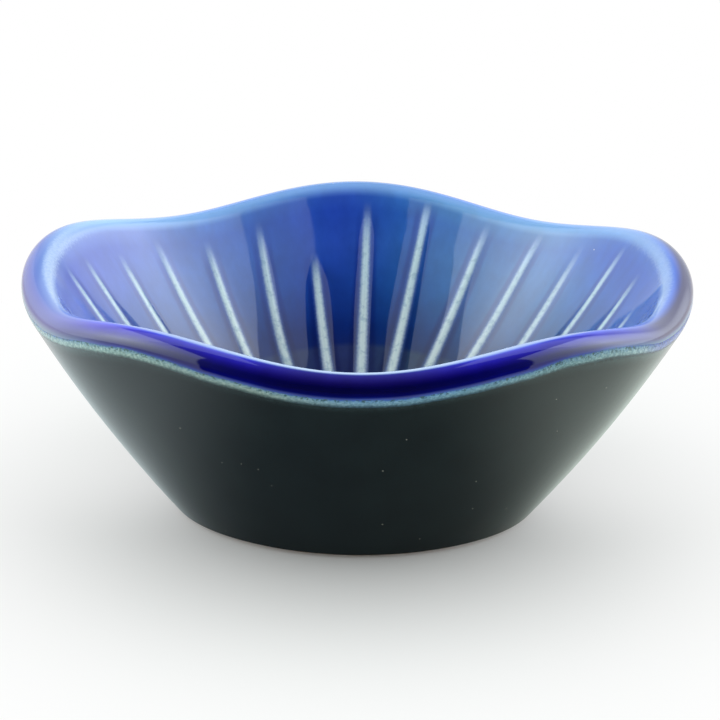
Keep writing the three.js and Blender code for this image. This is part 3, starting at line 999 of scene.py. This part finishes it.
ahead = np.array([0, math.cos(CAMERA_ELEVATION), -math.sin(CAMERA_ELEVATION)])
side = np.array([1.0, 0, 0])
above = np.cross(side, ahead)
across = side * math.cos(CAMERA_ROLL) + above * math.sin(CAMERA_ROLL)
upward = above * math.cos(CAMERA_ROLL) - side * math.sin(CAMERA_ROLL)
stand = (np.array(CAMERA_TARGET) - CAMERA_DISTANCE * ahead) * MM
camera = bpy.data.objects.new("camera", bpy.data.cameras.new("camera"))
bpy.context.scene.collection.objects.link(camera)
camera.data.lens = LENS
camera.data.sensor_width = SENSOR
camera.matrix_world = Matrix([(across[i], upward[i], -ahead[i], stand[i]) for i in range(3)] + [(0, 0, 0, 1)])
bpy.context.scene.camera = camera

# The studio: a pale table that runs out to white, white light from all round and a softbox on each side.
# Polished glaze shows a dark room in front, where the camera stands. The bowl stands in the middle, x runs to
# its right and y to its back.
WHITE = (1.0, 1.0, 1.0)
TABLE_SIZE = 6.0
FLOOR_WHITE = (0.80, 0.83, 0.815)
# How polished glaze sees the table near the bowl, at its left and right, where the one turns into the other
# and how far it goes
FLOOR_MIRRORED = [(0.80, 0.92, 0.94), (0.88, 1.0, 0.92)]
MIRRORED_TURNS = (-0.02, 0.02)
MIRRORED_REACH = (0.065, 0.110)
TABLE_FADES = (0.010, 0.160)  # to white, from the bowl's middle, and sooner to the sides
TABLE_SIDE_SHARE = 1.6
# Painted light on the table under the wall, at its left and right, which lifts the wall's shadow there:
# where, how far round it and how much
SIDE_LIGHT = (0.036, 0.008)
SIDE_LIGHT_REACH = (0.002, 0.034)
SIDE_LIGHT_SHARE = 0.30
DARK_ROOM = 0.02
TABLE_DARKENS = (-0.13, -0.085)  # polished glaze shows the dark room from here on in front too
# And only between two lines that meet the line y = WEDGE_FROM at a given x, with a given slope of x over y
WEDGE_FROM = -0.045
WEDGE_LEFT = (-0.027, 1.072)
WEDGE_RIGHT = (0.028, -1.376)
WEDGE_EDGE = (-0.003, 0.003)
# Polished glaze sees a painted shade here, for the wall's shadow on the table
UNDER_WALL = (0.0, -0.042, 0.0)  # the table close in front of the foot, where it lies in the wall's shade
UNDER_WALL_REACH = (0.019, 0.059)
UNDER_WALL_SHADE = 0.74
SOFTBOX_TINT = (0.86, 0.93, 1.0)


def emission(tree, strength, colour=WHITE):
    return node(tree, "ShaderNodeEmission", {"Color": (*colour, 1), "Strength": strength}).outputs[0]


def mix_shaders(tree, share, first, second):
    return node(tree, "ShaderNodeMixShader", {0: share, 1: first, 2: second}).outputs[0]


def plane(name, size, height, material):
    half = size / 2
    mesh = bpy.data.meshes.new(name)
    corners = [(x * half, y * half, 0) for x, y in ((-1, -1), (1, -1), (1, 1), (-1, 1))]
    mesh.from_pydata(corners, [], [(0, 1, 2, 3)])
    mesh.materials.append(material)
    made = bpy.data.objects.new(name, mesh)
    made.location.z = height
    bpy.context.scene.collection.objects.link(made)
    return made


table_white = bpy.data.materials.new("table_white")
tree = empty_tree(table_white)
place = node(tree, "ShaderNodeNewGeometry").outputs["Position"]
x, y, _ = axes(tree, place)
rays = node(tree, "ShaderNodeLightPath").outputs
is_glossy = rays["Is Glossy Ray"]
seen = maths(tree, "MAXIMUM", rays["Is Camera Ray"], rays["Is Transmission Ray"])
seen = maths(tree, "MAXIMUM", seen, is_glossy)

# The table as it is seen: its own pale colour, which gives way to white far from the bowl, and beside its
# foot to painted light that lifts the wall's shadow
squeezed = node(tree, "ShaderNodeVectorMath", {0: place, 1: (TABLE_SIDE_SHARE, 1, 1)}, operation="MULTIPLY")
far = rise_between(tree, vector_value(tree, "LENGTH", squeezed.outputs[0]), *TABLE_FADES)
mirrored_side = node(tree, "ShaderNodeCombineXYZ", {0: maths(tree, "ABSOLUTE", x), 1: y}).outputs[0]
from_side = vector_value(tree, "DISTANCE", mirrored_side, (*SIDE_LIGHT, 0.0))
painted_light_beside = product(tree, fall_between(tree, from_side, *SIDE_LIGHT_REACH), SIDE_LIGHT_SHARE)
whitened = rest_of(tree, product(tree, rest_of(tree, painted_light_beside), rest_of(tree, far)))
close = product(tree, fall_between(tree, vector_value(tree, "LENGTH", place), *MIRRORED_REACH), is_glossy)
tint = mix(tree, rise_between(tree, x, *MIRRORED_TURNS), *FLOOR_MIRRORED)
matt = node(tree, "ShaderNodeBsdfDiffuse", {"Color": mix(tree, close, FLOOR_WHITE, tint)}).outputs[0]
white = node(tree, "ShaderNodeEmission", {"Color": mix(tree, close, WHITE, tint)}).outputs[0]
plain = mix_shaders(tree, product(tree, whitened, seen), matt, white)

# Where polished glaze sees it dark: the dark room in front, and a painted shade of the wall's shadow on the
# table close in front of the foot
from_apex = maths(tree, "SUBTRACT", y, WEDGE_FROM)
left_edge, right_edge = (linear(tree, from_apex, slope, at) for at, slope in (WEDGE_LEFT, WEDGE_RIGHT))
within = maths(tree, "MINIMUM", maths(tree, "SUBTRACT", x, left_edge), maths(tree, "SUBTRACT", right_edge, x))
in_front = product(tree, fall_between(tree, y, *TABLE_DARKENS), rise_between(tree, within, *WEDGE_EDGE))
painted_shade_under_wall = fall_between(tree, vector_value(tree, "DISTANCE", place, UNDER_WALL), *UNDER_WALL_REACH)
darkened = maths(tree, "MAXIMUM", in_front, product(tree, painted_shade_under_wall, UNDER_WALL_SHADE))
table_shader = mix_shaders(tree, product(tree, darkened, is_glossy), plain, emission(tree, DARK_ROOM))
node(tree, "ShaderNodeOutputMaterial", {"Surface": table_shader})
plane("table", TABLE_SIZE, 0.0, table_white)

# Two sheets of light just above the back of the bowl, with a dark gap between them, for the inside wall to
# mirror
SHEET_SIZE = 0.42
SHEET_HEIGHT = 0.14
SHEET_GAP = 0.0125
SHEET_FRONT = -0.040
SHEET_LEVEL = 1.15
SHEET_SIDES_FADE = (0.09, 0.19)
SHEET_REAR_FADES = (0.02, 0.10)

sheet_light = bpy.data.materials.new("softbox_sheet")
tree = empty_tree(sheet_light)
x, y, _ = axes(tree, node(tree, "ShaderNodeNewGeometry").outputs["Position"])
sideways = maths(tree, "ABSOLUTE", x)
lit = product(
    tree,
    maths(tree, "GREATER_THAN", sideways, SHEET_GAP),
    maths(tree, "GREATER_THAN", y, SHEET_FRONT),
    fall_between(tree, sideways, *SHEET_SIDES_FADE),
    fall_between(tree, y, *SHEET_REAR_FADES),
    SHEET_LEVEL,
)
clear = node(tree, "ShaderNodeBsdfTransparent").outputs[0]
sheet = node(tree, "ShaderNodeAddShader", {0: emission(tree, lit, SOFTBOX_TINT), 1: clear})
node(tree, "ShaderNodeOutputMaterial", {"Surface": sheet.outputs[0]})
sheet_light.cycles.emission_sampling = "NONE"
sheets = plane("softbox_sheets", SHEET_SIZE, SHEET_HEIGHT, sheet_light)
sheets.visible_camera = False
sheets.visible_diffuse = False
sheets.visible_shadow = False

# The dome of light that falls on everything: its level all round, and what its sides, its low part and its
# back add to that
DOME_ALL = 0.6
DOME_SIDES = 0.9
DOME_LOW = 0.95
DOME_LOW_POWER = 6.0
DOME_BEHIND = 1.35
# The backdrop that polished glaze mirrors, by how far to the back and how high a direction is
BACKDROP = 1.0
BACKDROP_STARTS = (0.35, 0.75)
BACKDROP_TOP = (0.50, 0.64)
SOFTBOX_RIM = 1.1  # level far from a softbox's bright middle, and how much brighter that middle is
SOFTBOX_MIDDLE = 5.2
SOFTBOX_SPREAD = math.radians(26.5)
SOFTBOX_POWER = 1.4
SOFTBOX_SPILL = 0.25  # share of its light that comes from round it
SOFTBOX_EDGE = 0.03
# Side, azimuth and elevation of the bright middle, the slopes of the front and top edges, and of where the
# rear begins and ends to fade
SOFTBOXES = [
    (-1, -94, 28, -0.93, 1.66, 2.5, 6.0),
    (1, 108, 28, -0.70, 1.62, 1.0, 2.2),
]
LEAST_SIDEWAYS = 0.001  # keeps the slopes finite straight ahead

world = bpy.data.worlds.new("studio")
bpy.context.scene.world = world
tree = empty_tree(world)
world.cycles.sampling_method = "NONE"
toward = node(tree, "ShaderNodeTexCoord").outputs["Generated"]
x, y, z = axes(tree, toward)
sideways = maths(tree, "MAXIMUM", maths(tree, "ABSOLUTE", x), LEAST_SIDEWAYS)
back_slope = maths(tree, "DIVIDE", y, sideways)
up_slope = maths(tree, "DIVIDE", z, sideways)


def past_edge(value, edge):
    return rise_between(tree, value, edge - SOFTBOX_EDGE, edge + SOFTBOX_EDGE)


def softbox_at(hand, azimuth, elevation, front, top, rear_from, rear_to):
    """An upright softbox: azimuth from the camera's side, to the right, in degrees."""
    a, e = math.radians(azimuth), math.radians(elevation)
    middle = (math.sin(a) * math.cos(e), -math.cos(a) * math.cos(e), math.sin(e))
    dot = vector_value(tree, "DOT_PRODUCT", toward, middle)
    away = maths(tree, "DIVIDE", maths(tree, "ARCCOSINE", dot), SOFTBOX_SPREAD)
    fall = maths(tree, "EXPONENT", product(tree, maths(tree, "POWER", away, SOFTBOX_POWER), -1.0))
    shape = product(
        tree,
        past_edge(back_slope, front),
        fall_between(tree, back_slope, rear_from, rear_to),
        rest_of(tree, past_edge(up_slope, top)),
        maths(tree, "GREATER_THAN", product(tree, x, hand), 0.0),
    )
    inside = product(tree, shape, linear(tree, fall, SOFTBOX_MIDDLE, SOFTBOX_RIM))
    outside = product(tree, rest_of(tree, shape), product(tree, fall, SOFTBOX_MIDDLE * SOFTBOX_SPILL))
    return maths(tree, "ADD", inside, outside)


behind = product(tree, rise_between(tree, y, *BACKDROP_STARTS), fall_between(tree, z, *BACKDROP_TOP))
softboxes = maths(tree, "ADD", *(softbox_at(*softbox) for softbox in SOFTBOXES))
mirrored = maths(tree, "MAXIMUM", linear(tree, behind, BACKDROP, DARK_ROOM), softboxes)
low = rest_of(tree, product(tree, z, z))
dome_level = linear(tree, product(tree, x, x), DOME_SIDES, DOME_ALL)
dome_level = linear(tree, maths(tree, "POWER", low, DOME_LOW_POWER), DOME_LOW, dome_level)
dome_level = linear(tree, maths(tree, "MAXIMUM", y, 0.0), DOME_BEHIND, dome_level)
rays = node(tree, "ShaderNodeLightPath").outputs
dome, backdrop, studio = (
    node(tree, "ShaderNodeBackground", {"Color": (*colour, 1), "Strength": strength}).outputs[0]
    for colour, strength in ((WHITE, dome_level), (WHITE, 1.0), (SOFTBOX_TINT, mirrored))
)
white = maths(tree, "MAXIMUM", rays["Is Camera Ray"], rays["Is Transmission Ray"])
light = mix_shaders(tree, rays["Is Glossy Ray"], mix_shaders(tree, white, dome, backdrop), studio)
node(tree, "ShaderNodeOutputWorld", {"Surface": light})

bpy.context.scene.view_settings.view_transform = "Standard"
